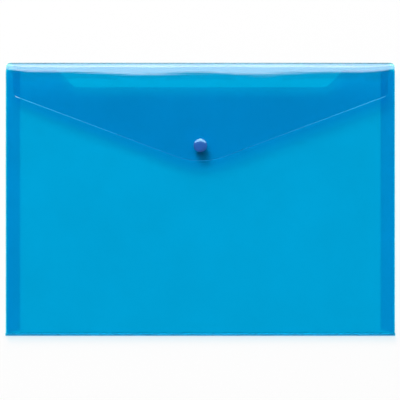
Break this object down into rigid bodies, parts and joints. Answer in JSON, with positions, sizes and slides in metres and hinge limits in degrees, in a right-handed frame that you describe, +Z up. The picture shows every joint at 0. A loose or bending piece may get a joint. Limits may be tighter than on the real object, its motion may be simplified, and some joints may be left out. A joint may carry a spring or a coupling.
{
  "type": "document wallet",
  "caption": "Translucent blue plastic wallet for A4 papers: a flat pocket with folded-in side flanges and a wide, blunt-pointed flap that folds over the mouth and closes on a round snap.",
  "frame": {"origin": "middle of the closed wallet's footprint, on the outer face of the back panel that it lies on", "axes": "+X across the wallet's width, +Y towards the top fold, +Z up out of the front, through the flap"},
  "size_m": [0.335, 0.235, 0.0111],
  "materials": {
    "sheet": "translucent blue polypropylene sheet, glossy",
    "snap": "glossy moulded plastic, darker violet blue"
  },
  "bodies": {
    "pocket": {"back_panel": "sheet", "front_panel": "sheet", "bottom_fold": "sheet", "left_side_fold": "sheet", "right_side_fold": "sheet", "left_side_flange": "sheet", "right_side_flange": "sheet", "snap_stud": "snap", "snap_stud_cap": "snap"},
    "spine": {"top_spine": "sheet", "top_roll": "sheet"},
    "flap": {"flap_panel": "sheet", "snap_cap": "snap", "snap_socket": "snap"}
  },
  "joints": [
    {"name": "flap_crease", "type": "hinge", "parent": "pocket", "child": "spine", "pos_m": [0, 0.11735, 0.00015], "axis": [-1, 0, 0], "range_deg": [0, 89]},
    {"name": "flap_roll", "type": "hinge", "parent": "spine", "child": "flap", "pos_m": [0, 0.11588, 0.00768], "axis": [-1, 0, 0], "range_deg": [0, 89], "deforming": ["top_roll"]}
  ],
  "couplings": [
    {"joint": "flap_roll", "follows": "flap_crease", "ratio": 1}
  ]
}
